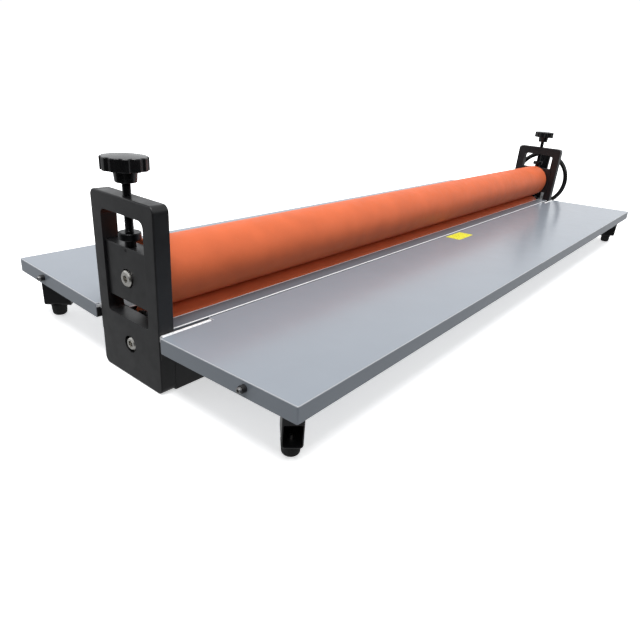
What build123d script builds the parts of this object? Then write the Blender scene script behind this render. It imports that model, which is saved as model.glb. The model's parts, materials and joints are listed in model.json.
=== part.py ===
"""Cold roll laminator: two sleeved rollers between two uprights, with fold-up tables front and rear.

Frame, in millimetres: +X runs along the rollers towards the hand wheel, -Y is the front (feeding) side,
+Z is up.  The origin is on the floor, midway between the uprights.  SIDE is -1 at the left end and +1 at
the right (hand wheel) end.  FACE is -1 at the front and +1 at the rear.
"""
import os
from math import atan, cos, degrees, pi, sin, sqrt

from build123d import *

SIDES = {"left": -1, "right": 1}
FACES = {"front": -1, "rear": 1}

# ---- driving dimensions ---------------------------------------------------------------------------
SLEEVE_LENGTH = 1300.0          # working width of the rollers
END_GAP = 8.0                   # from the end of a sleeve to the inner face of an upright
UPRIGHT_THICKNESS = 20.0
UPRIGHT_WIDTH = 118.0
UPRIGHT_HEIGHT = 220.0
LOWER_AXIS_Z = 45.5
AXIS_DISTANCE = 82.0            # between the roller axes, rollers closed
NIP_GAP = 0.3
LIFT = 15.0                     # travel of the upper roller
SHEET = 1.5                     # sheet steel of the base, strips and tables

# ---- uprights and window --------------------------------------------------------------------------
INNER_X = SLEEVE_LENGTH / 2 + END_GAP
OUTER_X = INNER_X + UPRIGHT_THICKNESS
MID_X = (INNER_X + OUTER_X) / 2
HALF_WIDTH = UPRIGHT_WIDTH / 2
UPRIGHT_CORNER = 8.0
WINDOW_HALF = 40.0
WINDOW_BOTTOM = 78.0
WINDOW_TOP = 201.0
WINDOW_TOP_CORNER = 8.0
WINDOW_LOW_CORNER = 4.5

# ---- rollers --------------------------------------------------------------------------------------
UPPER_AXIS_Z = LOWER_AXIS_Z + AXIS_DISTANCE
SLEEVE_R = (AXIS_DISTANCE - NIP_GAP) / 2
TUBE_R = SLEEVE_R - 6.0
TUBE_BORE_R = TUBE_R - 5.0
TUBE_END_X = SLEEVE_LENGTH / 2 + 2.0
PLUG_LENGTH = 40.0
JOURNAL_R = 7.5
SHOULDER_R = 10.0

# ---- bearings: 15 x 35 x 11 deep-groove ball bearings ----------------------------------------------
BEARING_R = 17.5
BEARING_WIDTH = 11.0
BEARING_IN_X = INNER_X + 0.4
BEARING_OUT_X = BEARING_IN_X + BEARING_WIDTH
OUTER_RING_BORE = 14.2
INNER_RING_R = 10.4
BALL_R = 2.9
BALL_COUNT = 9
PITCH_R = (OUTER_RING_BORE + INNER_RING_R) / 2
RACE_GROOVE_R = BALL_R + 0.35
END_HOLE_R = 11.2               # hole over a roller's end screw
UPPER_SCREW_HEAD_R = 9.6
LOWER_SCREW_HEAD_R = 8.2
END_COLLAR_R = 9.2
END_SCREW_R = 4.0
SNUG = 0.02                     # between two parts of one body that fit together

# ---- bearing blocks -------------------------------------------------------------------------------
BLOCK_HALF = WINDOW_HALF - 0.4
BLOCK_BOTTOM = 98.5
BLOCK_TOP = 164.0
BLOCK_OUT_X = OUTER_X - 3.0
FLANGE_X = (INNER_X - 2.8, INNER_X - 0.4)
FLANGE_HALF = WINDOW_HALF + 4.0

# ---- adjusting screws and knobs -------------------------------------------------------------------
SCREW_R = 5.0
SPIGOT_R = 6.15
SPIGOT_Z = (153.5, 172.3)
GROOVE_Z = (158.0, 162.0)
GROOVE_R = 4.4
GRUB_R = 2.0
GRUB_TIP_R = 1.3
COLLAR_R = 12.5
COLLAR_HEIGHT = 8.4
COLLAR_ROUNDING = 1.4
KNOB_BOTTOM = 234.4
KNOB_HUB_HEIGHT = 12.8
KNOB_DISC_HEIGHT = 13.7
KNOB_DOME = 1.8
KNOB_HUB_R = 11.6
KNOB_HUB_TAPER = 1.2
KNOB_BORE_DEPTH = 12.5
KNOB_R = 25.0
KNOB_LOBES = 12
KNOB_FLUTE_R = 5.0
KNOB_FLUTE_DEPTH = 1.7

# ---- hand wheel -----------------------------------------------------------------------------------
WHEEL_R = 78.0
RIM_R = 6.0
WHEEL_X = OUTER_X + 46.0
HUB_X = (OUTER_X + 8.0, WHEEL_X + 10.0)
HUB_R = 17.0
WHEEL_SHAFT_R = 7.0
NUT_STUD_R = 5.0
NUT_HEIGHT = 8.0
SPOKE_THICKNESS = 9.0
SPOKE_HUB_WIDTH = 26.0
SPOKE_RIM_WIDTH = 29.0
GRIP_OFFSET = 56.0
SPINDLE_R = 4.0
GRIP_X = (WHEEL_X + 8.5, WHEEL_X + 66.0)
SPINDLE_END_X = WHEEL_X + 71.0

# ---- base and guide strips ------------------------------------------------------------------------
BASE_TOP = 65.0
BASE_LIP = 14.5
TAB_X = (INNER_X - 4.0, INNER_X)
BASE_SCREW_R = 3.0
BASE_SCREW_HEAD_R = 5.0
BASE_SCREW_HEAD_HEIGHT = 3.6
BASE_SCREW_Y = 50.0
BASE_SCREW_Z = (20.0, 48.0)
GUIDE_Y = (29.0, 54.6)
GUIDE_TOP = 78.3
GUIDE_FOOT_Y = 42.0
GUIDE_HALF_LENGTH = INNER_X - 1.0
GUIDE_SCREW_Y = 47.0
GUIDE_SCREW_COUNT = 5
GUIDE_SCREW_R = 2.0

# ---- tables ---------------------------------------------------------------------------------------
TABLE_END_X = OUTER_X + 3.0
TABLE_INNER_Y = 55.8
TABLE_OUTER_Y = 266.0
TABLE_INNER_Z = 77.8
TABLE_RISE = 6.9                # outer edge above inner edge, because the feet hold it up
TABLE_DEPTH = TABLE_OUTER_Y - TABLE_INNER_Y
TABLE_TILT = degrees(atan(TABLE_RISE / TABLE_DEPTH))
TABLE_FLANGE = 19.0
TABLE_LIP = 8.0
TABLE_CORNER = 2.0
NOTCH_X = 606.0
NOTCH_DEPTH = 9.6
STUD_Y = 142.0                  # from the table's inner edge
STUD_DROP = 8.3                 # below the table's top
STUD_R = 2.0
STUD_HEAD_R = 3.2
STUD_BUSH_R = 4.2
NUT_R = 4.0
NUT_DEPTH = 3.2
STUD_HEAD_X = (TABLE_END_X + 5.0, TABLE_END_X + 8.5)
LABEL_X = (3.0, 65.0)
LABEL_Y = (5.4, 35.6)
LABEL_THICKNESS = 0.25

# ---- table hinges ---------------------------------------------------------------------------------
HINGE_X = (NOTCH_X + 2.0, OUTER_X - 1.0)
HINGE_Y = 62.1
HINGE_Z = 75.6
HINGE_R = 2.75
HINGE_PIN_R = 1.3
HINGE_BORE_R = 1.36
KNUCKLES = 5
KNUCKLE_GAP = 0.4
PAN_HEAD_R = 3.6                # of the hinge screws and the guide strips' screws
PAN_HEAD_HEIGHT = 2.3
FIXED_LEAF_BOTTOM = 47.0
MOVING_LEAF_BOTTOM = 18.0       # below the table's top
HINGE_SCREW_R = 2.0
HINGE_SCREW_Z = 54.0

# ---- feet -----------------------------------------------------------------------------------------
FOOT_X = 649.0
FOOT_Y = 233.5
BRACKET_OUT = 17.0              # from the foot's axis towards the table's corner
BRACKET_IN = 20.5               # and away from it
BRACKET_WIDTH = 22.4
BRACKET_WALL = 1.5
BRACKET_CORNER = 1.4
BRACKET_LOW_CORNER = 4.0
BRACKET_MOUTH_TOP = 44.5
FOOT_HEIGHT = 17.0
FOOT_TOP_R = 11.2
FOOT_BOTTOM_R = 9.6
FOOT_ROUNDING = 4.0
FOOT_RECESS_R = 4.6
FOOT_RECESS = 6.0
FOOT_SCREW_R = 2.5


# ---- small makers ---------------------------------------------------------------------------------
def block(xs, ys, zs):
    """A box between two values along each axis, in either order."""
    x, y, z = (sorted(pair) for pair in (xs, ys, zs))
    solid = Box(x[1] - x[0], y[1] - y[0], z[1] - z[0], align=(Align.MIN,) * 3)
    return Pos(x[0], y[0], z[0]) * solid


def x_rod(radius, xs, y=0.0, z=0.0):
    """A cylinder along X."""
    start, end = sorted(xs)
    rod = Cylinder(radius, end - start, align=(Align.CENTER, Align.CENTER, Align.MIN))
    return Pos(start, y, z) * Rot(0, 90, 0) * rod


def y_rod(radius, ys, x=0.0, z=0.0):
    """A cylinder along Y."""
    start, end = sorted(ys)
    rod = Cylinder(radius, end - start, align=(Align.CENTER, Align.CENTER, Align.MIN))
    return Pos(x, start, z) * Rot(-90, 0, 0) * rod


def z_rod(radius, zs, x=0.0, y=0.0):
    """A cylinder along Z."""
    start, end = sorted(zs)
    return Pos(x, y, start) * Cylinder(radius, end - start, align=(Align.CENTER, Align.CENTER, Align.MIN))


def upright_cone(bottom_r, top_r, height):
    """A cone that stands on z = 0."""
    return Cone(bottom_r, top_r, height, align=(Align.CENTER, Align.CENTER, Align.MIN))


def scaled(pair, factor):
    """The pair of values times the factor, which is usually a side or a face."""
    return tuple(factor * value for value in pair)


def chamfer_rims(solid, axis, amount):
    """Chamfers the outer circle at both ends of a turned part."""
    ends = solid.faces().sort_by(axis)
    rims = [ends[0].outer_wire().edges(), ends[-1].outer_wire().edges()]
    return chamfer(rims[0] + rims[1], amount)


def hex_socket(across_flats, depth, x, side, z):
    """A hexagonal recess that opens outwards at x on the given side."""
    corner_r = across_flats / sqrt(3)
    prism = extrude(RegularPolygon(corner_r, 6), depth + 1)
    return Pos(x - side * depth, 0, z) * Rot(0, 90 * side, 0) * prism


def on_table(face, part):
    """Places a part drawn flat (y outwards from the inner edge, z up from the top) on a tilted table."""
    return Pos(0, face * TABLE_INNER_Y, TABLE_INNER_Z) * Rot(face * TABLE_TILT, 0, 0) * part


def bundle(parts):
    return Compound(children=[solid for part in parts for solid in part.solids()])


# ---- uprights -------------------------------------------------------------------------------------
def upright(side):
    outline = RectangleRounded(UPRIGHT_WIDTH, UPRIGHT_HEIGHT, UPRIGHT_CORNER)
    outline = Plane.YZ * Pos(0, UPRIGHT_HEIGHT / 2) * outline
    window_mid = (WINDOW_BOTTOM + WINDOW_TOP) / 2
    window = Rectangle(2 * WINDOW_HALF, WINDOW_TOP - WINDOW_BOTTOM)
    window = fillet(window.vertices().group_by(Axis.Y)[-1], WINDOW_TOP_CORNER)
    window = fillet(window.vertices().group_by(Axis.Y)[0], WINDOW_LOW_CORNER)
    window = Plane.YZ * Pos(0, window_mid) * window
    low_x = min(side * INNER_X, side * OUTER_X)
    plate = Pos(low_x, 0, 0) * extrude(outline - window, UPRIGHT_THICKNESS)
    outer_face = plate.faces().sort_by(Axis.X)[-1 if side > 0 else 0]
    plate = fillet(outer_face.outer_wire().edges(), 1.5)
    inner_face = plate.faces().sort_by(Axis.X)[0 if side > 0 else -1]
    plate = chamfer(inner_face.outer_wire().edges(), 0.6)
    plate -= x_rod(BEARING_R + SNUG, scaled((INNER_X - 1, BEARING_OUT_X), side), z=LOWER_AXIS_Z)
    plate -= x_rod(END_HOLE_R - 0.4, scaled((INNER_X, OUTER_X + 1), side), z=LOWER_AXIS_Z)
    plate -= z_rod(SCREW_R + 0.3, (WINDOW_TOP - 1, UPRIGHT_HEIGHT + 1), x=side * MID_X)
    for face in FACES.values():
        for z in BASE_SCREW_Z:
            hole_x = scaled((INNER_X - 1, INNER_X + 10), side)
            plate -= x_rod(BASE_SCREW_R + SNUG, hole_x, face * BASE_SCREW_Y, z)
        hole_y = scaled((HALF_WIDTH - 8, HALF_WIDTH + 1), face)
        plate -= y_rod(HINGE_SCREW_R + SNUG, hole_y, side * MID_X, HINGE_SCREW_Z)
    return plate


# ---- base -----------------------------------------------------------------------------------------
def hinge_screw_xs(side):
    return (side * MID_X, side * (HINGE_X[0] + 12.0))


def base_channel():
    length = (-INNER_X, INNER_X)
    body = block(length, (-HALF_WIDTH, HALF_WIDTH), (0, BASE_TOP))
    body = fillet(body.edges().filter_by(Axis.X), 2.0)
    inside = HALF_WIDTH - SHEET
    body -= block((-INNER_X - 1, INNER_X + 1), (-inside, inside), (SHEET, BASE_TOP - SHEET))
    mouth = HALF_WIDTH - BASE_LIP
    body -= block((-INNER_X - 1, INNER_X + 1), (-mouth, mouth), (SHEET, BASE_TOP + 1))
    for side in SIDES.values():
        for face in FACES.values():
            tab = block(scaled(TAB_X, side), scaled((mouth, inside), face), (SHEET, BASE_TOP - SHEET))
            for z in BASE_SCREW_Z:
                tab -= x_rod(BASE_SCREW_R + 0.2, scaled((TAB_X[0] - 1, TAB_X[1] + 1), side),
                             face * BASE_SCREW_Y, z)
            body += tab
            hole_y = scaled((inside - 1, HALF_WIDTH + 1), face)
            body -= y_rod(HINGE_SCREW_R + SNUG, hole_y, hinge_screw_xs(side)[1], HINGE_SCREW_Z)
    for x in guide_screw_xs():
        for face in FACES.values():
            hole_z = (BASE_TOP - SHEET - 1, BASE_TOP + 1)
            body -= z_rod(GUIDE_SCREW_R + SNUG, hole_z, x, face * GUIDE_SCREW_Y)
    return body


def base_screws():
    screws = []
    head_x = TAB_X[0] - BASE_SCREW_HEAD_HEIGHT
    for side in SIDES.values():
        for face in FACES.values():
            for z in BASE_SCREW_Z:
                y = face * BASE_SCREW_Y
                head = x_rod(BASE_SCREW_HEAD_R, scaled((head_x, TAB_X[0]), side), y, z)
                shank = x_rod(BASE_SCREW_R, scaled((TAB_X[0] - 0.5, INNER_X + 9), side), y, z)
                socket = Pos(0, y, 0) * hex_socket(5.0, 2.2, side * head_x, -side, z)
                screws.append(head + shank - socket)
    return bundle(screws)


# ---- guide strips ---------------------------------------------------------------------------------
def guide_screw_xs():
    step = 2 * (GUIDE_HALF_LENGTH - 60) / (GUIDE_SCREW_COUNT - 1)
    return [step * (index - (GUIDE_SCREW_COUNT - 1) / 2) for index in range(GUIDE_SCREW_COUNT)]


def guide_strip(face):
    """A folded strip: a top that guides the sheet, a web and a foot that is screwed to the base's lip."""
    length = (-GUIDE_HALF_LENGTH, GUIDE_HALF_LENGTH)
    inner, outer = GUIDE_Y
    top = block(length, scaled((inner, outer), face), (GUIDE_TOP - SHEET, GUIDE_TOP))
    web = block(length, scaled((outer - SHEET, outer), face), (BASE_TOP, GUIDE_TOP))
    foot = block(length, scaled((GUIDE_FOOT_Y, outer), face), (BASE_TOP, BASE_TOP + SHEET))
    strip = top + web + foot
    top_face = strip.faces().sort_by(Axis.Z)[-1]
    strip = fillet(top_face.edges().filter_by(Axis.X), 1.2)
    for x in guide_screw_xs():
        strip -= z_rod(GUIDE_SCREW_R + SNUG, (BASE_TOP - 1, BASE_TOP + SHEET + 1), x, face * GUIDE_SCREW_Y)
    return strip


def guide_strip_screws():
    screws = []
    seat = BASE_TOP + SHEET
    for x in guide_screw_xs():
        for face in FACES.values():
            y = face * GUIDE_SCREW_Y
            head = z_rod(PAN_HEAD_R, (seat, seat + PAN_HEAD_HEIGHT), x, y)
            head = fillet(head.faces().sort_by(Axis.Z)[-1].edges(), 1.0)
            screws.append(head + z_rod(GUIDE_SCREW_R, (BASE_TOP - 5, seat + 0.5), x, y))
    return bundle(screws)


# ---- bearings -------------------------------------------------------------------------------------
def bearing_ring(side, axis_z, outer_r, bore_r):
    xs = scaled((BEARING_IN_X, BEARING_OUT_X), side)
    mid_x = side * (BEARING_IN_X + BEARING_OUT_X) / 2
    ring = x_rod(outer_r, xs, z=axis_z) - x_rod(bore_r, xs, z=axis_z)
    groove = Pos(mid_x, 0, axis_z) * Rot(0, 90, 0) * Torus(PITCH_R, RACE_GROOVE_R)
    return ring - groove


def outer_rings(axis_z):
    return bundle(bearing_ring(side, axis_z, BEARING_R, OUTER_RING_BORE) for side in SIDES.values())


def inner_rings(axis_z):
    bore_r = JOURNAL_R + SNUG
    return bundle(bearing_ring(side, axis_z, INNER_RING_R, bore_r) for side in SIDES.values())


def bearing_balls(axis_z):
    """The balls sit against the outer ring's groove and clear of the inner ring's."""
    balls = []
    for side in SIDES.values():
        mid_x = side * (BEARING_IN_X + BEARING_OUT_X) / 2
        for index in range(BALL_COUNT):
            turn = 2 * pi * index / BALL_COUNT
            place = Pos(mid_x, PITCH_R * cos(turn), axis_z + PITCH_R * sin(turn))
            balls.append(place * Sphere(BALL_R))
    return bundle(balls)


# ---- rollers --------------------------------------------------------------------------------------
def roller_sleeve(axis_z):
    half = (-SLEEVE_LENGTH / 2, SLEEVE_LENGTH / 2)
    sleeve = chamfer_rims(x_rod(SLEEVE_R, half, z=axis_z), Axis.X, 0.8)
    return sleeve - x_rod(TUBE_R + SNUG, half, z=axis_z)


def roller_tube(axis_z):
    half = (-TUBE_END_X, TUBE_END_X)
    return x_rod(TUBE_R, half, z=axis_z) - x_rod(TUBE_BORE_R, half, z=axis_z)


def stub_shaft(side, axis_z, wheel_end):
    """An end plug in the roller tube with its journal, and on one shaft the seat of the hand wheel."""
    shaft = x_rod(TUBE_BORE_R - SNUG, scaled((TUBE_END_X - PLUG_LENGTH, TUBE_END_X), side), z=axis_z)
    shaft += x_rod(SHOULDER_R, scaled((TUBE_END_X - 1, BEARING_IN_X), side), z=axis_z)
    shaft += x_rod(JOURNAL_R, scaled((BEARING_IN_X - 1, BEARING_OUT_X), side), z=axis_z)
    if wheel_end:
        shaft += x_rod(WHEEL_SHAFT_R, scaled((BEARING_OUT_X - 1, HUB_X[1]), side), z=axis_z)
        shaft += x_rod(NUT_STUD_R, scaled((HUB_X[1] - 1, HUB_X[1] + NUT_HEIGHT + 1), side), z=axis_z)
    else:
        shaft -= x_rod(END_SCREW_R + SNUG, scaled((BEARING_OUT_X - 19, BEARING_OUT_X + 1), side), z=axis_z)
    return shaft


def end_screw(side, axis_z, head_r, head_end_x):
    """A socket screw whose collar presses on the bearing's inner ring."""
    collar = x_rod(END_COLLAR_R, scaled((BEARING_OUT_X, BEARING_OUT_X + 2), side), z=axis_z)
    head = x_rod(head_r, scaled((BEARING_OUT_X + 1.5, head_end_x), side), z=axis_z)
    head = chamfer(head.faces().sort_by(Axis.X)[-1 if side > 0 else 0].edges(), 1.6)
    shank = x_rod(END_SCREW_R, scaled((BEARING_OUT_X - 18, BEARING_OUT_X + 1), side), z=axis_z)
    return head + collar + shank - hex_socket(8.0, 4.5, side * head_end_x, side, axis_z)


# ---- bearing blocks -------------------------------------------------------------------------------
def bearing_block(side):
    """Slides in the window; its flange keeps it from passing out through the upright."""
    inner_x, flange_out_x = FLANGE_X
    heights = (BLOCK_BOTTOM, BLOCK_TOP)
    body = block(scaled((inner_x, BLOCK_OUT_X), side), (-BLOCK_HALF, BLOCK_HALF), heights)
    outer_face = body.faces().sort_by(Axis.X)[-1 if side > 0 else 0]
    body = chamfer(outer_face.edges(), 0.7)
    body += block(scaled((inner_x, flange_out_x), side), (-FLANGE_HALF, FLANGE_HALF), heights)
    body -= x_rod(BEARING_R + SNUG, scaled((inner_x - 1, BEARING_OUT_X), side), z=UPPER_AXIS_Z)
    body -= x_rod(END_HOLE_R, scaled((inner_x, OUTER_X), side), z=UPPER_AXIS_Z)
    body -= z_rod(SPIGOT_R + 0.35, (SPIGOT_Z[0] - 1, BLOCK_TOP + 1), x=side * MID_X)
    body -= x_rod(GRUB_R + SNUG, scaled((MID_X, OUTER_X), side), z=sum(GROOVE_Z) / 2)
    return body


def block_grub_screws():
    """Each tip stands in the adjusting screw's groove, so the screw turns but can't pull out."""
    screws = []
    groove_mid = sum(GROOVE_Z) / 2
    for side in SIDES.values():
        thread = x_rod(GRUB_R, scaled((MID_X + SPIGOT_R + 0.6, BLOCK_OUT_X - 0.4), side), z=groove_mid)
        tip = x_rod(GRUB_TIP_R, scaled((MID_X + GROOVE_R + 0.4, MID_X + SPIGOT_R + 1), side), z=groove_mid)
        screws.append(thread + tip)
    return bundle(screws)


# ---- adjusting screws and knobs -------------------------------------------------------------------
def adjusting_screw(side):
    x = side * MID_X
    thread_z = (SPIGOT_Z[1] - 1, KNOB_BOTTOM + KNOB_BORE_DEPTH - 0.5)
    screw = z_rod(SPIGOT_R, SPIGOT_Z, x) + z_rod(SCREW_R, thread_z, x)
    return screw - (z_rod(SPIGOT_R + 1, GROOVE_Z, x) - z_rod(GROOVE_R, GROOVE_Z, x))


def collar_nut(side):
    x = side * MID_X
    zs = (SPIGOT_Z[1], SPIGOT_Z[1] + COLLAR_HEIGHT)
    collar = z_rod(COLLAR_R, zs, x)
    ends = collar.faces().sort_by(Axis.Z)
    collar = fillet(ends[-1].edges() + ends[0].edges(), COLLAR_ROUNDING)
    return collar - z_rod(SCREW_R + SNUG, zs, x)


def star_knob(side):
    """A fluted disc with a domed top, over a tapered hub."""
    disc = Circle(KNOB_R)
    reach = KNOB_R + KNOB_FLUTE_R - KNOB_FLUTE_DEPTH
    for index in range(KNOB_LOBES):
        turn = 2 * pi * (index + 0.5) / KNOB_LOBES
        disc -= Pos(reach * cos(turn), reach * sin(turn)) * Circle(KNOB_FLUTE_R)
    dome_r = (KNOB_R**2 + KNOB_DOME**2) / (2 * KNOB_DOME)
    dome = Pos(0, 0, KNOB_DISC_HEIGHT + KNOB_DOME - dome_r) * Rot(90, 0, 0) * Sphere(dome_r)
    head = extrude(disc, KNOB_DISC_HEIGHT + KNOB_DOME) & dome
    head = fillet(head.edges().filter_by(Axis.Z), 1.4)
    head = fillet(head.faces().sort_by(Axis.Z)[-1].edges(), 1.2)
    head = fillet(head.faces().sort_by(Axis.Z)[0].edges(), 0.8)
    hub = upright_cone(KNOB_HUB_R, KNOB_HUB_R + KNOB_HUB_TAPER, KNOB_HUB_HEIGHT + 0.5)
    hub = fillet(hub.faces().sort_by(Axis.Z)[0].edges(), 1.0)
    knob = Pos(0, 0, KNOB_HUB_HEIGHT) * head + hub
    knob -= z_rod(SCREW_R + SNUG, (-1, KNOB_BORE_DEPTH))
    return Pos(side * MID_X, 0, KNOB_BOTTOM) * knob


# ---- hand wheel -----------------------------------------------------------------------------------
def hand_wheel():
    """Two wide spokes, one up and one down, which flare into the rim."""
    ring_r = WHEEL_R - RIM_R
    wheel = Rot(0, 90, 0) * Torus(ring_r, RIM_R)
    spoke_y = (SPOKE_HUB_WIDTH / 2, SPOKE_RIM_WIDTH / 2)
    flat = Polyline((spoke_y[1], ring_r - 1), (spoke_y[0], 0), (spoke_y[1], -ring_r + 1),
                    (-spoke_y[1], -ring_r + 1), (-spoke_y[0], 0), (-spoke_y[1], ring_r - 1), close=True)
    web = extrude(Plane.YZ * make_face(flat), SPOKE_THICKNESS / 2, both=True)
    web = web & x_rod(ring_r, (-RIM_R, RIM_R))
    wheel += web
    hub = chamfer_rims(x_rod(HUB_R, HUB_X), Axis.X, 1.2)
    wheel = Pos(WHEEL_X, 0, UPPER_AXIS_Z) * wheel + Pos(0, 0, UPPER_AXIS_Z) * hub
    wheel -= x_rod(WHEEL_SHAFT_R + SNUG, (HUB_X[0] - 1, HUB_X[1] + 1), z=UPPER_AXIS_Z)
    spindle_hole = (WHEEL_X - SPOKE_THICKNESS, WHEEL_X + SPOKE_THICKNESS)
    return wheel - x_rod(SPINDLE_R + SNUG, spindle_hole, z=UPPER_AXIS_Z - GRIP_OFFSET)


def wheel_nut():
    xs = (HUB_X[1], HUB_X[1] + NUT_HEIGHT)
    prism = extrude(RegularPolygon(9.8, 6), NUT_HEIGHT)
    nut = Pos(xs[0], 0, UPPER_AXIS_Z) * Rot(0, 90, 0) * prism
    return nut - x_rod(NUT_STUD_R + SNUG, (xs[0] - 1, xs[1] + 1), z=UPPER_AXIS_Z)


def grip_spindle():
    z = UPPER_AXIS_Z - GRIP_OFFSET
    spindle = x_rod(SPINDLE_R, (WHEEL_X - SPOKE_THICKNESS / 2, SPINDLE_END_X - 4), z=z)
    collar = x_rod(7.5, (WHEEL_X + SPOKE_THICKNESS / 2, GRIP_X[0] - 0.5), z=z)
    cap = x_rod(6.5, (GRIP_X[1] + 0.5, SPINDLE_END_X), z=z)
    return spindle + collar + chamfer(cap.faces().sort_by(Axis.X)[-1].edges(), 1.0)


def wheel_grip():
    """A barrel-shaped revolving grip."""
    start, end = GRIP_X
    profile = make_face(Polyline((start, 0), (start, 8.6)) + Spline(
        (start, 8.6), (start + 16, 10.2), (start + 38, 11.6), (end - 4, 10.8)) +
        Polyline((end - 4, 10.8), (end, 7.6), (end, 0), (start, 0)))
    grip = revolve(profile, Axis.X)
    grip = Pos(0, 0, UPPER_AXIS_Z - GRIP_OFFSET) * grip
    return grip - x_rod(SPINDLE_R + 0.3, (start - 1, end + 1), z=UPPER_AXIS_Z - GRIP_OFFSET)


# ---- tables ---------------------------------------------------------------------------------------
def table(face):
    """A shallow tray, open below, with its inner corners notched for the hinges."""
    outline = [(NOTCH_X, 0), (NOTCH_X, NOTCH_DEPTH), (TABLE_END_X, NOTCH_DEPTH), (TABLE_END_X, TABLE_DEPTH)]
    outline += [(-x, y) for x, y in reversed(outline)]
    top = Plane.XY * Pos(0, 0, -TABLE_FLANGE) * make_face(Polyline(*outline, close=True))
    tray = extrude(top, TABLE_FLANGE)
    corners = tray.edges().filter_by(Axis.Z).group_by(Axis.Y)[-1]
    tray = fillet(corners, TABLE_CORNER)
    tray = fillet(tray.faces().sort_by(Axis.Z)[-1].edges(), 1.2)
    wall_x = TABLE_END_X - SHEET
    room_x = NOTCH_X - SHEET
    room_end = TABLE_DEPTH - SHEET
    tray -= block((-room_x, room_x), (SHEET, room_end), (-TABLE_FLANGE - 1, -SHEET))
    tray -= block((-NOTCH_X, NOTCH_X), (-1, NOTCH_DEPTH), (-TABLE_FLANGE - 1, -TABLE_LIP))
    for side in SIDES.values():
        end_room = scaled((room_x - 1, wall_x), side)
        tray -= block(end_room, (NOTCH_DEPTH + SHEET, room_end), (-TABLE_FLANGE - 1, -SHEET))
        stud_hole = scaled((wall_x - 1, TABLE_END_X + 1), side)
        tray -= x_rod(STUD_R + SNUG, stud_hole, STUD_Y, -STUD_DROP)
    return on_table(face, tray if face > 0 else mirror(tray, about=Plane.XZ))


def table_studs(face):
    """Studs with a bush under the head, one in each end flange, with their nuts inside."""
    studs = []
    for side in SIDES.values():
        y, z = face * STUD_Y, -STUD_DROP
        wall_x = TABLE_END_X - SHEET
        head = x_rod(STUD_HEAD_R, scaled(STUD_HEAD_X, side), y, z)
        head = fillet(head.faces().sort_by(Axis.X)[-1 if side > 0 else 0].edges(), 0.5)
        shank = x_rod(STUD_R, scaled((wall_x - 5, STUD_HEAD_X[0] + 0.5), side), y, z)
        bush = x_rod(STUD_BUSH_R, scaled((TABLE_END_X, STUD_HEAD_X[0]), side), y, z)
        nut = extrude(RegularPolygon(NUT_R, 6), NUT_DEPTH)
        nut = Pos(min(side * wall_x, side * (wall_x - NUT_DEPTH)), y, z) * Rot(0, 90, 0) * nut
        socket = Pos(0, y, 0) * hex_socket(3.0, 2.2, side * STUD_HEAD_X[1], side, z)
        studs.append(on_table(face, head + shank + bush + nut - socket))
    return bundle(studs)


def table_label():
    label = block(LABEL_X, scaled(LABEL_Y, -1), (0, LABEL_THICKNESS))
    return on_table(-1, fillet(label.edges().filter_by(Axis.Z), 1.0))


# ---- table hinges ---------------------------------------------------------------------------------
def knuckles(side, face, parity):
    """Every second length of the hinge barrel, without its bore."""
    pitch = (HINGE_X[1] - HINGE_X[0]) / KNUCKLES
    rings = []
    for index in range(parity, KNUCKLES, 2):
        start = HINGE_X[0] + index * pitch + KNUCKLE_GAP / 2
        xs = scaled((start, start + pitch - KNUCKLE_GAP), side)
        rings.append(x_rod(HINGE_R, xs, face * HINGE_Y, HINGE_Z))
    return rings


def knuckle_gaps(side, face, parity):
    """Room in a leaf for the other leaf's knuckles."""
    pitch = (HINGE_X[1] - HINGE_X[0]) / KNUCKLES
    gaps = []
    for index in range(1 - parity, KNUCKLES, 2):
        start = HINGE_X[0] + index * pitch - KNUCKLE_GAP / 2
        xs = scaled((start, start + pitch + KNUCKLE_GAP), side)
        gaps.append(x_rod(HINGE_R + 0.5, xs, face * HINGE_Y, HINGE_Z))
    return gaps


def hinge_bore(side, face):
    return x_rod(HINGE_BORE_R, scaled((HINGE_X[0] - 1, HINGE_X[1] + 1), side), face * HINGE_Y, HINGE_Z)


def fixed_leaf(side, face):
    """Stands against the front of the base and the upright."""
    leaf_y = scaled((HALF_WIDTH, HALF_WIDTH + SHEET), face)
    leaf = block(scaled(HINGE_X, side), leaf_y, (FIXED_LEAF_BOTTOM, HINGE_Z))
    for gap in knuckle_gaps(side, face, 0):
        leaf -= gap
    for ring in knuckles(side, face, 0):
        leaf += ring
    for x in hinge_screw_xs(side):
        leaf -= y_rod(HINGE_SCREW_R + SNUG, scaled((HALF_WIDTH - 1, HALF_WIDTH + 3), face), x, HINGE_SCREW_Z)
    return leaf - hinge_bore(side, face)


def moving_leaf(side, face):
    """Hangs from the barrel against the flange of the table's notch."""
    leaf_x = (HINGE_X[0], TABLE_END_X - 0.6)
    leaf_y = (NOTCH_DEPTH - SHEET, NOTCH_DEPTH)
    leaf_z = (-MOVING_LEAF_BOTTOM, HINGE_Z - TABLE_INNER_Z)
    leaf = block(scaled(leaf_x, side), scaled(leaf_y, face), leaf_z)
    leaf = on_table(face, leaf)
    for gap in knuckle_gaps(side, face, 1):
        leaf -= gap
    for ring in knuckles(side, face, 1):
        leaf += ring
    return leaf - hinge_bore(side, face)


def hinge_pins():
    return bundle(
        x_rod(HINGE_PIN_R, scaled(HINGE_X, side), face * HINGE_Y, HINGE_Z)
        for side in SIDES.values() for face in FACES.values())


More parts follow.
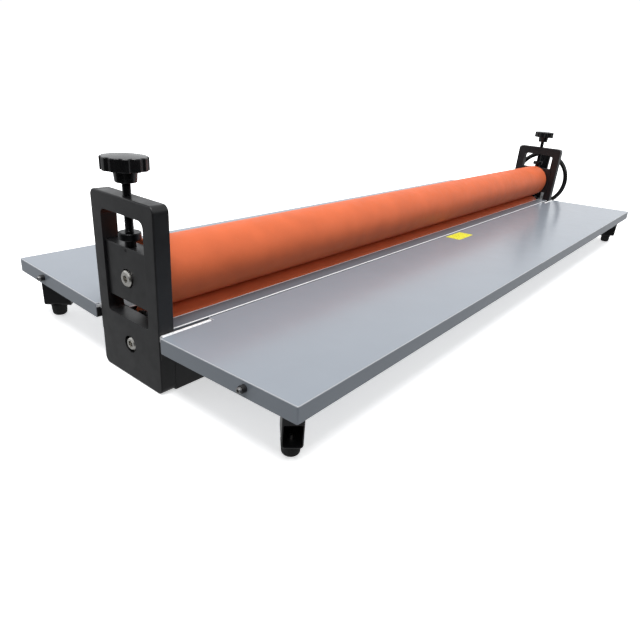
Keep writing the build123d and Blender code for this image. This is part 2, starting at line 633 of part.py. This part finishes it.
def hinge_screws():
    screws = []
    seat = HALF_WIDTH + SHEET
    for side in SIDES.values():
        for face in FACES.values():
            for x, depth in zip(hinge_screw_xs(side), (7.0, 4.0)):
                head = y_rod(PAN_HEAD_R, scaled((seat, seat + PAN_HEAD_HEIGHT), face), x, HINGE_SCREW_Z)
                head = fillet(head.faces().sort_by(Axis.Y)[-1 if face > 0 else 0].edges(), 1.0)
                shank_y = scaled((HALF_WIDTH - depth, seat + 0.5), face)
                shank = y_rod(HINGE_SCREW_R, shank_y, x, HINGE_SCREW_Z)
                screws.append(head + shank)
    return bundle(screws)


# ---- feet -----------------------------------------------------------------------------------------
def below_table(face, offset):
    """Everything under a plane that lies offset below the table's underside."""
    heights = (-SHEET - offset - TABLE_INNER_Z - TABLE_RISE, -SHEET - offset)
    return on_table(face, block((-2 * OUTER_X, 2 * OUTER_X), (-TABLE_DEPTH, 2 * TABLE_DEPTH), heights))


def at_foot(side, face, part):
    """Turns a part drawn along +X to point out over a table's corner, at the foot."""
    turn = degrees(atan(1.0)) * (1 if side == face else -1) + (180 if side < 0 else 0)
    return Pos(side * FOOT_X, face * FOOT_Y, 0) * Rot(0, 0, turn) * part


def bracket_box(xs, wide, zs, corner):
    """A box with rounded lower edges along its length."""
    box = block(xs, (-wide, wide), zs)
    return fillet(box.faces().sort_by(Axis.Z)[0].edges().filter_by(Axis.X), corner)


def foot_bracket(side, face):
    """A pressed box under the table's corner, with a mouth in its outer end."""
    wide = BRACKET_WIDTH / 2
    roof = TABLE_INNER_Z + 2 * TABLE_RISE
    shell = bracket_box((-BRACKET_IN, BRACKET_OUT), wide, (FOOT_HEIGHT, roof), BRACKET_LOW_CORNER)
    shell = fillet(shell.edges().filter_by(Axis.Z), BRACKET_CORNER)
    inner_wide = wide - BRACKET_WALL
    inner_corner = BRACKET_LOW_CORNER - BRACKET_WALL
    inner_floor = FOOT_HEIGHT + BRACKET_WALL
    room_x = (BRACKET_WALL - BRACKET_IN, BRACKET_OUT - BRACKET_WALL)
    room = bracket_box(room_x, inner_wide, (inner_floor, roof), inner_corner)
    mouth = bracket_box((0, BRACKET_OUT + 1), inner_wide, (inner_floor, BRACKET_MOUTH_TOP), inner_corner)
    shell = at_foot(side, face, shell) & below_table(face, 0)
    room = at_foot(side, face, room) & below_table(face, BRACKET_WALL)
    hole = z_rod(FOOT_SCREW_R + SNUG, (FOOT_HEIGHT - 1, inner_floor + 1))
    return shell - room - at_foot(side, face, mouth) - at_foot(side, face, hole)


def rubber_foot(side, face):
    body = upright_cone(FOOT_BOTTOM_R, FOOT_TOP_R, FOOT_HEIGHT)
    body = fillet(body.faces().sort_by(Axis.Z)[0].edges(), FOOT_ROUNDING)
    body -= z_rod(FOOT_RECESS_R, (-1, FOOT_RECESS))
    body -= z_rod(FOOT_SCREW_R + SNUG, (FOOT_RECESS - 1, FOOT_HEIGHT + 1))
    return at_foot(side, face, body)


def foot_screws(face):
    screws = []
    for side in SIDES.values():
        head = z_rod(4.3, (FOOT_RECESS - 3.0, FOOT_RECESS))
        shank = z_rod(FOOT_SCREW_R, (FOOT_RECESS - 0.5, FOOT_HEIGHT + BRACKET_WALL + 4))
        screws.append(at_foot(side, face, head + shank))
    return bundle(screws)


# ---- all parts ------------------------------------------------------------------------------------
def all_parts():
    parts = {
        "base_channel": base_channel(),
        "base_screws": base_screws(),
        "guide_strip_screws": guide_strip_screws(),
        "hinge_pins": hinge_pins(),
        "hinge_screws": hinge_screws(),
        "block_grub_screws": block_grub_screws(),
        "hand_wheel": hand_wheel(),
        "wheel_nut": wheel_nut(),
        "grip_spindle": grip_spindle(),
        "wheel_grip": wheel_grip(),
        "table_label": table_label(),
        "upper_end_screw": end_screw(-1, UPPER_AXIS_Z, UPPER_SCREW_HEAD_R, OUTER_X),
        "lower_end_screws": bundle(
            end_screw(side, LOWER_AXIS_Z, LOWER_SCREW_HEAD_R, OUTER_X - 0.3) for side in SIDES.values()),
    }
    for level, axis_z in (("upper", UPPER_AXIS_Z), ("lower", LOWER_AXIS_Z)):
        parts[f"{level}_sleeve"] = roller_sleeve(axis_z)
        parts[f"{level}_roller_tube"] = roller_tube(axis_z)
        parts[f"{level}_stub_shafts"] = bundle(
            stub_shaft(side, axis_z, level == "upper" and side > 0) for side in SIDES.values())
        parts[f"{level}_outer_rings"] = outer_rings(axis_z)
        parts[f"{level}_inner_rings"] = inner_rings(axis_z)
        parts[f"{level}_bearing_balls"] = bearing_balls(axis_z)
    for side_name, side in SIDES.items():
        parts[f"{side_name}_upright"] = upright(side)
        parts[f"{side_name}_bearing_block"] = bearing_block(side)
        parts[f"{side_name}_adjusting_screw"] = adjusting_screw(side)
        parts[f"{side_name}_collar_nut"] = collar_nut(side)
        parts[f"{side_name}_star_knob"] = star_knob(side)
    for face_name, face in FACES.items():
        parts[f"{face_name}_guide_strip"] = guide_strip(face)
        parts[f"{face_name}_table"] = table(face)
        parts[f"{face_name}_table_studs"] = table_studs(face)
        parts[f"{face_name}_foot_screws"] = foot_screws(face)
        for side_name, side in SIDES.items():
            corner = f"{face_name}_{side_name}"
            parts[f"{corner}_fixed_leaf"] = fixed_leaf(side, face)
            parts[f"{corner}_moving_leaf"] = moving_leaf(side, face)
            parts[f"{corner}_foot_bracket"] = foot_bracket(side, face)
            parts[f"{corner}_rubber_foot"] = rubber_foot(side, face)
    return parts


os.makedirs("parts", exist_ok=True)
for node, shape in all_parts().items():
    export_step(shape, f"parts/{node}.step")
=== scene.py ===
"""Looks of the cold roll laminator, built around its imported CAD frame. Everything is in metres."""
import json
import math

import bpy
from mathutils import Matrix, Vector


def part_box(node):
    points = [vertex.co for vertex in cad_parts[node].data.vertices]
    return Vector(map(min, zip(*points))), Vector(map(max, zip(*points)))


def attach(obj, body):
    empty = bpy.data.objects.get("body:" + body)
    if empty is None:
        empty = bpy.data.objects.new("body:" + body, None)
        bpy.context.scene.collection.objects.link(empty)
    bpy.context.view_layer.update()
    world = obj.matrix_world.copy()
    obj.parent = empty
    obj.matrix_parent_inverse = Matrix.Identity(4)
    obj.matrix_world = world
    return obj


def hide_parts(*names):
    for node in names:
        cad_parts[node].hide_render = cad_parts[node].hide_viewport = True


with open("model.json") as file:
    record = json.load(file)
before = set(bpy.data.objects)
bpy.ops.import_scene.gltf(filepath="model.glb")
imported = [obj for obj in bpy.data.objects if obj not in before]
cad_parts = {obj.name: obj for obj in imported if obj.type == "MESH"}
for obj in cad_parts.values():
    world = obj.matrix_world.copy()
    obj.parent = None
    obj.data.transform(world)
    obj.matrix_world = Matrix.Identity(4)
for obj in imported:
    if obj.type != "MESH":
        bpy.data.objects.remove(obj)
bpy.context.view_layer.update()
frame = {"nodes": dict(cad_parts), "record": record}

# ---- camera and studio ----------------------------------------------------------------------------
CAMERA_PLACE = Vector((-0.9871, -0.5167, 0.3464))
CAMERA_AZIMUTH = math.radians(-52.55)
CAMERA_ELEVATION = math.radians(24.05)
CAMERA_ROLL = math.radians(4.62)
CAMERA_LENS = 30.01
SENSOR = 36.0
SKY_WHITE = 1.05
SKY_OVERHEAD = 0.36
SKY_BELOW = 0.50
SKY_TINT = (0.97, 0.985, 1.0)
SOFTBOX_DIRECTION = (-0.12, -0.14, 1.0)
SOFTBOX_WIDTH = 34.0            # degrees
SOFTBOX_STRENGTH = 3.1
FLAG_LEFT = -2.6
FLAG_FRONT = -2.0
FLAG_RIGHT = 1.6
FLAG_REAR = 1.8
FLAG_BOTTOM = -1.0
FLAG_TOP = 1.1
FLOOR_REACH = 150.0
FLOOR_DROP = -0.0005            # keeps the floor clear of the feet
FLOOR_GLOW = 0.55

# ---- finishes and pieces --------------------------------------------------------------------------
ZINC = (0.93, 0.94, 0.96)
# colour of the painted highlight along a guide strip's top edges
STRIP_HIGHLIGHT_COLOUR = (0.80, 0.81, 0.83)
SOFT_EDGE = 0.0004              # width of the change from one finish to the other
HIGHLIGHT_INNER = 0.0024           # width of a guide strip's painted highlight line beside the rollers
HIGHLIGHT_OUTER = 0.0016           # and beside the table
HIGHLIGHT_DOWN = 0.0008            # how far down from the strip's top they reach
THREAD_R = 0.005
THREAD_PITCH = 0.0015
THREAD_DEPTH = 0.0008
THREAD_POINTS = 28              # round the screw
THREAD_STEPS = 8                # up each pitch
SPIGOT_CHAMFER = 0.0004
GROOVE_HALF = 0.002
GROOVE_R = 0.0044
STUD_HEAD = 0.0035              # length of a stud's head
HINGE_WALL = 0.0013             # from a hinge pin to the outside of its barrel


# ---- camera and studio building -------------------------------------------------------------------
def add_camera():
    """Looks along the azimuth and elevation, with the slight roll of a hand-held shot."""
    azimuth, elevation, roll = CAMERA_AZIMUTH, CAMERA_ELEVATION, CAMERA_ROLL
    back = Vector((math.sin(azimuth) * math.cos(elevation), -math.cos(azimuth) * math.cos(elevation),
                   math.sin(elevation)))
    level = Vector((math.cos(azimuth), math.sin(azimuth), 0.0))
    upright = back.cross(level)
    right = math.cos(roll) * level + math.sin(roll) * upright
    up = back.cross(right)
    data = bpy.data.cameras.new("camera")
    data.sensor_width = SENSOR
    data.lens = CAMERA_LENS
    data.clip_start = 0.01
    camera = bpy.data.objects.new("camera", data)
    turned = Matrix((right, up, back)).transposed().to_4x4()
    camera.matrix_world = Matrix.Translation(CAMERA_PLACE) @ turned
    bpy.context.scene.collection.objects.link(camera)
    bpy.context.scene.camera = camera


def map_range(tree, source, from_min, from_max, to_min, to_max):
    node = tree.nodes.new("ShaderNodeMapRange")
    values = {"From Min": from_min, "From Max": from_max, "To Min": to_min, "To Max": to_max}
    for socket, value in values.items():
        node.inputs[socket].default_value = value
    tree.links.new(source, node.inputs["Value"])
    return node.outputs["Result"]


def add_sky():
    """White from the horizon up to 30 degrees, then darker to a grey overhead, and grey below."""
    world = bpy.data.worlds.new("studio")
    world.use_nodes = True
    tree = world.node_tree
    height = tree.nodes.new("ShaderNodeSeparateXYZ")
    tree.links.new(tree.nodes.new("ShaderNodeTexCoord").outputs["Generated"], height.inputs["Vector"])
    above = map_range(tree, height.outputs["Z"], 0.5, 0.8, SKY_WHITE, SKY_OVERHEAD)
    level = map_range(tree, height.outputs["Z"], -0.03, -0.01, SKY_BELOW, 1.0)
    tree.links.new(above, level.node.inputs["To Max"])
    tree.links.new(level, tree.nodes["Background"].inputs["Strength"])
    tree.nodes["Background"].inputs["Color"].default_value = (*SKY_TINT, 1.0)
    bpy.context.scene.world = world


def add_panel(name, corners, material):
    """A flat sheet of studio equipment."""
    mesh = bpy.data.meshes.new(name)
    mesh.from_pydata(corners, [], [(0, 1, 2, 3)])
    panel = bpy.data.objects.new(name, mesh)
    panel.data.materials.append(material)
    bpy.context.scene.collection.objects.link(panel)
    return panel


def add_flag(name, start, end):
    """A dark panel that keeps light off one side of the object. The camera doesn't see it."""
    corners = [(*start, FLAG_BOTTOM), (*end, FLAG_BOTTOM), (*end, FLAG_TOP), (*start, FLAG_TOP)]
    panel = add_panel(name, corners, flag_material())
    panel.visible_camera = False


def add_softbox():
    """Soft light from almost overhead, as wide as a large softbox looks from the object."""
    data = bpy.data.lights.new("top_softbox", "SUN")
    data.angle = math.radians(SOFTBOX_WIDTH)
    data.energy = SOFTBOX_STRENGTH
    light = bpy.data.objects.new("top_softbox", data)
    light.rotation_euler = Vector(SOFTBOX_DIRECTION).to_track_quat("Z", "Y").to_euler()
    bpy.context.scene.collection.objects.link(light)


def add_floor():
    """A wide floor that glows a little. It throws no light on the object, so dark faces stay dark."""
    reach = FLOOR_REACH
    corners = [(-reach, -reach), (reach, -reach), (reach, reach), (-reach, reach)]
    floor = add_panel("floor", [(x, y, FLOOR_DROP) for x, y in corners], floor_material())
    floor.visible_diffuse = False
    floor.visible_glossy = False


def add_studio():
    bpy.context.scene.view_settings.view_transform = "Standard"
    add_sky()
    add_softbox()
    add_flag("front_flag", (FLAG_LEFT, FLAG_FRONT), (FLAG_RIGHT, FLAG_FRONT))
    add_flag("left_flag", (FLAG_LEFT, FLAG_FRONT), (FLAG_LEFT, FLAG_REAR))
    add_floor()


# ---- material building ----------------------------------------------------------------------------
class Surface:
    """A Principled material and the few nodes that its looks are made of."""

    def __init__(self, name, colour, roughness, metallic=0.0):
        self.material = bpy.data.materials.new(name)
        self.material.use_nodes = True
        self.tree = self.material.node_tree
        self.shader = self.tree.nodes["Principled BSDF"]
        self.colour = colour
        self.set("Base Color", (*colour, 1.0))
        self.set("Roughness", roughness)
        self.set("Metallic", metallic)
        self.place = self.tree.nodes.new("ShaderNodeTexCoord").outputs["Object"]
        self.normal = None

    def set(self, socket, value):
        self.shader.inputs[socket].default_value = value

    def link(self, source, socket):
        self.tree.links.new(source, self.shader.inputs[socket])

    def along(self, axis, folded=False):
        """The place along one axis, in metres, without its sign if folded."""
        parts = self.tree.nodes.new("ShaderNodeSeparateXYZ")
        self.tree.links.new(self.place, parts.inputs["Vector"])
        if not folded:
            return parts.outputs[axis]
        size = self.tree.nodes.new("ShaderNodeMath")
        size.operation = "ABSOLUTE"
        self.tree.links.new(parts.outputs[axis], size.inputs[0])
        return size.outputs["Value"]

    def calculate(self, operation, first, second):
        node = self.tree.nodes.new("ShaderNodeMath")
        node.operation = operation
        self.tree.links.new(first, node.inputs[0])
        self.tree.links.new(second, node.inputs[1])
        return node.outputs["Value"]

    def both(self, mask, other):
        return self.calculate("MULTIPLY", mask, other)

    def either(self, mask, other):
        return self.calculate("MAXIMUM", mask, other)

    def within(self, source, start, end, soft=0.0002):
        """1 between two places and 0 outside them."""
        rise = self.spread(source, 0.0, 1.0, start - soft, start)
        fall = self.spread(source, 1.0, 0.0, end, end + soft)
        return self.both(rise, fall)

    def stretched(self, stretch):
        mapping = self.tree.nodes.new("ShaderNodeMapping")
        mapping.inputs["Scale"].default_value = stretch
        self.tree.links.new(self.place, mapping.inputs["Vector"])
        return mapping.outputs["Vector"]

    def noise(self, size, detail=2.0, stretch=(1, 1, 1)):
        """Noise whose blotches are about this size, in metres."""
        noise = self.tree.nodes.new("ShaderNodeTexNoise")
        noise.inputs["Scale"].default_value = 1.0 / size
        noise.inputs["Detail"].default_value = detail
        self.tree.links.new(self.stretched(stretch), noise.inputs["Vector"])
        return noise.outputs["Fac"]

    def spread(self, source, low, high, start=0.3, end=0.7):
        """Maps a source's range, by default a texture's middle, to a range of values."""
        return map_range(self.tree, source, start, end, low, high)

    def blend_colours(self, factor, colour_a, colour_b):
        mix = self.tree.nodes.new("ShaderNodeMix")
        mix.data_type = "RGBA"
        self.tree.links.new(factor, mix.inputs["Factor"])
        for socket, colour in ((mix.inputs[6], colour_a), (mix.inputs[7], colour_b)):
            if isinstance(colour, tuple):
                socket.default_value = (*colour, 1.0)
            else:
                self.tree.links.new(colour, socket)
        return mix.outputs[2]

    def mottle(self, source, darker, lighter):
        """Varies the base colour between two shades of itself."""
        dark = tuple(channel * darker for channel in self.colour)
        light = tuple(min(channel * lighter, 1.0) for channel in self.colour)
        return self.blend_colours(self.spread(source, 0.0, 1.0), dark, light)

    def edges(self, width):
        """1 along the edges, to this width in metres, and 0 on the faces."""
        bevel = self.tree.nodes.new("ShaderNodeBevel")
        bevel.samples = 6
        bevel.inputs["Radius"].default_value = width
        geometry = self.tree.nodes.new("ShaderNodeNewGeometry")
        agreement = self.tree.nodes.new("ShaderNodeVectorMath")
        agreement.operation = "DOT_PRODUCT"
        self.tree.links.new(bevel.outputs["Normal"], agreement.inputs[0])
        self.tree.links.new(geometry.outputs["Normal"], agreement.inputs[1])
        return self.spread(agreement.outputs["Value"], 1.0, 0.0, 0.90, 0.99)

    def rounding(self):
        """1 on the rounding between a top and its sides, and 0 on the flat faces."""
        coordinates = self.tree.nodes.new("ShaderNodeTexCoord")
        parts = self.tree.nodes.new("ShaderNodeSeparateXYZ")
        self.tree.links.new(coordinates.outputs["Normal"], parts.inputs["Vector"])
        return self.within(parts.outputs["Z"], 0.25, 0.93, 0.04)

    def bump(self, source, height, strength=1.0):
        """Adds relief of this height, in metres, over any relief so far."""
        bump = self.tree.nodes.new("ShaderNodeBump")
        bump.inputs["Strength"].default_value = strength
        bump.inputs["Distance"].default_value = height
        self.tree.links.new(source, bump.inputs["Height"])
        if self.normal:
            self.tree.links.new(self.normal, bump.inputs["Normal"])
        self.normal = bump.outputs["Normal"]
        self.link(self.normal, "Normal")


def floor_material():
    surface = Surface("floor", (0.97, 0.97, 0.97), 0.8)
    surface.link(surface.mottle(surface.noise(0.4), 0.99, 1.0), "Base Color")
    surface.set("Emission Color", (1.0, 1.0, 1.0, 1.0))
    surface.set("Emission Strength", FLOOR_GLOW)
    return surface.material


def flag_material():
    surface = Surface("flag", (0.02, 0.02, 0.02), 0.9)
    surface.link(surface.mottle(surface.noise(0.2), 0.9, 1.1), "Base Color")
    return surface.material


def black_paint():
    """Satin powder coat: fine orange peel, dust in clouds and specks, and a painted highlight that makes the
    edges a little lighter.
    """
    surface = Surface("black_paint", (0.013, 0.013, 0.014), 0.34)
    surface.set("Specular IOR Level", 0.42)
    dusty = surface.mottle(surface.noise(0.03, 4), 0.85, 1.25)
    specks = surface.spread(surface.noise(0.0009, 1), 0.0, 0.25, 0.66, 0.78)
    dusty = surface.blend_colours(specks, dusty, (0.03, 0.03, 0.03))
    # painted highlight: the edges are coloured lighter, as if light caught them
    painted_edge_highlight = surface.blend_colours(surface.edges(0.0008), dusty, (0.045, 0.045, 0.047))
    surface.link(painted_edge_highlight, "Base Color")
    surface.link(surface.spread(surface.noise(0.012, 3), 0.34, 0.44), "Roughness")
    surface.bump(surface.noise(0.0012, 2), 0.00006)
    return surface.material


def table_paint():
    """Blue-grey satin powder coat on sheet metal, with a painted highlight that makes the roundings round
    the top lighter.
    """
    surface = Surface("table_paint", (0.256, 0.284, 0.322), 0.22)
    clouds = surface.mottle(surface.noise(0.05, 4), 0.985, 1.015)
    # painted highlight: lighter colour on the roundings between the top and its sides
    painted_fold_highlight = surface.blend_colours(surface.rounding(), clouds, (0.46, 0.475, 0.50))
    surface.link(painted_fold_highlight, "Base Color")
    surface.link(surface.spread(surface.noise(0.02, 3), 0.20, 0.24), "Roughness")
    return surface.material


def strip_paint():
    """Darker grey paint, with a painted highlight along each of the top's two long edges."""
    surface = Surface("strip_paint", (0.13, 0.145, 0.165), 0.36)
    low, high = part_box("rear_guide_strip")
    across = surface.along("Y", folded=True)
    inner_end = low.y + HIGHLIGHT_INNER
    outer_start = high.y - HIGHLIGHT_OUTER
    down = high.z - HIGHLIGHT_DOWN
    inner = surface.spread(across, 1.0, 0.0, inner_end, inner_end + SOFT_EDGE)
    outer = surface.spread(across, 0.0, 1.0, outer_start, outer_start + SOFT_EDGE)
    on_top = surface.spread(surface.along("Z"), 0.0, 1.0, down, down + SOFT_EDGE / 2)
    # painted highlight: light lines along the top's two long edges
    painted_highlight = surface.both(surface.either(inner, outer), on_top)
    surface.link(surface.blend_colours(painted_highlight, surface.colour, STRIP_HIGHLIGHT_COLOUR), "Base Color")
    surface.link(surface.spread(surface.noise(0.02, 3), 0.33, 0.40), "Roughness")
    return surface.material


def silicone():
    """Ground silicone: rings round the roller, a soft mottle and a little dust."""
    surface = Surface("silicone", (0.665, 0.145, 0.056), 0.55)
    surface.set("Specular IOR Level", 0.12)
    clouds = surface.mottle(surface.noise(0.04, 4), 0.93, 1.05)
    dust = surface.spread(surface.noise(0.0015, 1), 0.0, 0.35, 0.68, 0.80)
    surface.link(surface.blend_colours(dust, clouds, (0.62, 0.25, 0.15)), "Base Color")
    surface.link(surface.spread(surface.noise(0.01, 3), 0.42, 0.56), "Roughness")
    surface.bump(surface.noise(0.0007, 2, (1, 0.05, 0.05)), 0.00004)
    surface.bump(surface.noise(0.0012, 2), 0.00003)
    return surface.material


def metal(name, colour, roughness, grain=(1, 1, 1), scratch=0.00002, shade_mask=None, shine=1.0):
    """Bare or plated metal with a directional grain, and near-black painted shade where the shade_mask says
    so.

    Next to the painted shade, shine is how metallic the uncovered metal is: less gives plating a dull,
    whitish look.
    """
    surface = Surface(name, colour, roughness, metallic=1.0)
    shade = surface.mottle(surface.noise(0.004, 3), 0.88, 1.08)
    if shade_mask:
        mask = shade_mask(surface)
        # painted shade: near-black colour where the mask is 1
        surface.link(surface.blend_colours(mask, shade, (0.012, 0.012, 0.013)), "Base Color")
        surface.link(surface.spread(mask, shine, 0.0, 0.0, 1.0), "Metallic")
    else:
        surface.link(shade, "Base Color")
    brushed = surface.spread(surface.noise(0.0008, 3, grain), roughness - 0.08, roughness + 0.10)
    surface.link(brushed, "Roughness")
    surface.bump(surface.noise(0.0005, 2, grain), scratch)
    return surface.material


def stud_neck_shade_mask(surface):
    """The neck between a table's end and a stud's head, which gets near-black painted shade."""
    table_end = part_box("rear_table")[1].x
    head_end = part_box("rear_table_studs")[1].x
    return surface.within(surface.along("X", folded=True), table_end, head_end - STUD_HEAD)


def leaf_shade_mask(surface):
    """A hinge leaf below its barrel, coloured near black as painted shade for the dark gap beside the
    upright.
    """
    barrel_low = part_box("hinge_pins")[0].z - HINGE_WALL
    return surface.spread(surface.along("Z"), 1.0, 0.0, barrel_low - SOFT_EDGE, barrel_low)


def black_plastic():
    """Moulded plastic with a faint grain."""
    surface = Surface("black_plastic", (0.007, 0.007, 0.0075), 0.24)
    surface.link(surface.mottle(surface.noise(0.01, 3), 0.85, 1.2), "Base Color")
    surface.link(surface.spread(surface.noise(0.02, 2), 0.22, 0.28), "Roughness")
    surface.bump(surface.noise(0.004, 1), 0.0000015, 0.12)
    return surface.material


def black_rubber():
    """Dull rubber, greyer in patches."""
    surface = Surface("black_rubber", (0.016, 0.016, 0.016), 0.8)
    surface.link(surface.mottle(surface.noise(0.003, 4), 0.8, 1.5), "Base Color")
    surface.link(surface.spread(surface.noise(0.001, 2), 0.7, 0.9), "Roughness")
    surface.bump(surface.noise(0.0005, 2), 0.00005)
    return surface.material


def yellow_label():
    """A plain printed film, a little wavy."""
    surface = Surface("yellow_label", (0.80, 0.78, 0.06), 0.35)
    surface.link(surface.mottle(surface.noise(0.02, 3), 0.94, 1.04), "Base Color")
    surface.link(surface.spread(surface.noise(0.004, 3), 0.24, 0.36), "Roughness")
    surface.bump(surface.noise(0.006, 2), 0.00004)
    return surface.material


def slot_materials():
    return {
        "black_paint": black_paint(),
        "table_paint": table_paint(),
        "silicone": silicone(),
        "steel": metal("steel", (0.56, 0.56, 0.57), 0.34, (1, 0.1, 0.1)),
        "bearing_steel": metal("bearing_steel", (0.70, 0.70, 0.71), 0.2),
        "zinc": metal("zinc", ZINC, 0.5),
        "stainless": metal("stainless", (0.60, 0.585, 0.55), 0.34, (0.2, 1, 1)),
        "black_oxide": metal("black_oxide", (0.035, 0.035, 0.037), 0.35),
        "black_plastic": black_plastic(),
        "black_rubber": black_rubber(),
        "yellow_label": yellow_label(),
    }


def finish_nodes(materials):
    """Gives each CAD node the material of its slot, apart from three kinds of node whose colour carries
    painted highlight or painted shade.
    """
    special = {
        # guide strips get painted highlights; stud necks and hinge leaves get near-black painted shade
        "guide_strip": strip_paint(),
        "table_studs": metal("stud_steel", (0.33, 0.33, 0.33), 0.34, shade_mask=stud_neck_shade_mask),
        "leaf": metal("zinc_with_painted_shade", ZINC, 0.5, shade_mask=leaf_shade_mask, shine=0.4),
    }
    for part in frame["record"]["subparts"]:
        node = frame["nodes"][part["node"]]
        material = materials[part["material_slot"]]
        for ending, finish in special.items():
            if part["node"].endswith(ending):
                material = finish
        node.data.materials.clear()
        node.data.materials.append(material)


# ---- pieces ---------------------------------------------------------------------------------------
def lathe(name, rings, centre):
    """A closed mesh from rings of points. Each ring is a height and a radius at each turn."""
    count = len(rings[0][1])
    vertices = []
    for height, radii in rings:
        for index, radius in enumerate(radii):
            turn = math.tau * index / count
            vertices.append((centre.x + radius * math.cos(turn), centre.y + radius * math.sin(turn), height))
    faces = [tuple(reversed(range(count)))]
    for ring in range(len(rings) - 1):
        for index in range(count):
            low, next_low = ring * count + index, ring * count + (index + 1) % count
            faces.append((low, next_low, next_low + count, low + count))
    top = (len(rings) - 1) * count
    faces.append(tuple(range(top, top + count)))
    mesh = bpy.data.meshes.new(name)
    mesh.from_pydata(vertices, [], faces)
    piece = bpy.data.objects.new(name, mesh)
    bpy.context.scene.collection.objects.link(piece)
    return piece


def thread_radius(height, index):
    """The radius of a V thread at a height and a turn, between its root and its crest."""
    turns = height / THREAD_PITCH - index / THREAD_POINTS
    return THREAD_R - THREAD_DEPTH * abs(2 * (turns % 1.0) - 1)


def threaded_screw(side, material):
    """An adjusting screw: a grooved spigot below its collar, and a cut thread up to the knob."""
    node = f"{side}_adjusting_screw"
    low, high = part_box(node)
    spigot_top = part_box(f"{side}_collar_nut")[0].z
    grub_low, grub_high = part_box("block_grub_screws")
    groove = (grub_low.z + grub_high.z) / 2
    spigot_r = (high.x - low.x) / 2
    groove_low, groove_high = groove - GROOVE_HALF, groove + GROOVE_HALF
    profile = [(low.z, spigot_r - SPIGOT_CHAMFER), (low.z + SPIGOT_CHAMFER, spigot_r),
               (groove_low, spigot_r), (groove_low, GROOVE_R),
               (groove_high, GROOVE_R), (groove_high, spigot_r), (spigot_top, spigot_r)]
    rings = [(height, [radius] * THREAD_POINTS) for height, radius in profile]
    steps = int((high.z - spigot_top) / THREAD_PITCH * THREAD_STEPS)
    for step in range(steps + 1):
        height = spigot_top + (high.z - spigot_top) * step / steps
        rings.append((height, [thread_radius(height, index) for index in range(THREAD_POINTS)]))
    piece = lathe(f"{side}_threaded_screw", rings, (low + high) / 2)
    piece.data.materials.append(material)
    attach(piece, f"{side}_knob")
    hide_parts(node)


add_camera()
add_studio()
finishes = slot_materials()
finish_nodes(finishes)
for side_name in ("left", "right"):
    threaded_screw(side_name, finishes["black_oxide"])
